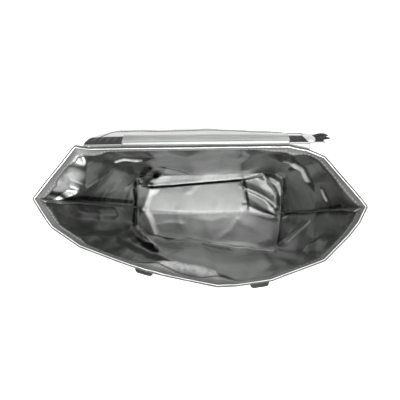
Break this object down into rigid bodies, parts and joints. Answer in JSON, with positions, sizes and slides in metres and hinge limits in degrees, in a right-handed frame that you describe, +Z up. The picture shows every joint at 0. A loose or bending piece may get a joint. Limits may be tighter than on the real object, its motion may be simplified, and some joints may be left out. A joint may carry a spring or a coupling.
{
  "type": "battery safe bag",
  "caption": "Open boxed-bottom fire-resistant charging sack of aluminised cloth, with a fold-over hook-and-loop flap and an inner tuck tongue.",
  "frame": {"origin": "middle of the underside of the boxed base", "axes": "+Z up out of the mouth, +X to the right along the mouth's long way, -Y to the front, where the loop tapes are"},
  "size_m": [0.3581, 0.1874, 0.2446],
  "materials": {
    "shell": "aluminised woven glass cloth, silver, slightly glossy",
    "felt": "needled glass felt, off-white, matt",
    "lining": "crinkled silver foil-faced cloth, glossy",
    "hem": "folded and stitched silver cloth",
    "seam": "bound seam allowance, grey silver",
    "hook": "black nylon hook tape, matt",
    "loop": "black nylon loop tape, matt pile"
  },
  "bodies": {
    "bag": {"front_shell": "shell", "front_felt": "felt", "front_lining": "lining", "front_rim_hem": "hem", "back_shell": "shell", "back_felt": "felt", "back_lining": "lining", "back_rim_hem": "hem", "base_shell": "shell", "base_felt": "felt", "base_lining": "lining", "left_side_seam_tape": "seam", "left_base_seam_tape": "seam", "right_side_seam_tape": "seam", "right_base_seam_tape": "seam", "left_loop_tape": "loop", "right_loop_tape": "loop", "flap_neck": "shell"},
    "flap": {"flap_shell": "shell", "flap_lining": "lining", "hook_tape": "hook", "flap_tip_hem": "hem", "flap_left_hem": "hem", "flap_right_hem": "hem"},
    "tongue": {"tongue_facing": "lining", "tongue_backing": "shell"}
  },
  "joints": [
    {"name": "flap_fold", "type": "hinge", "parent": "bag", "child": "flap", "pos_m": [0, 0.076, 0.2434], "axis": [1, 0, 0], "range_deg": [0, 222]},
    {"name": "tongue_fold", "type": "hinge", "parent": "flap", "child": "tongue", "pos_m": [0, 0.08417, 0.23934], "axis": [1, 0, 0], "range_deg": [0, 60]}
  ]
}
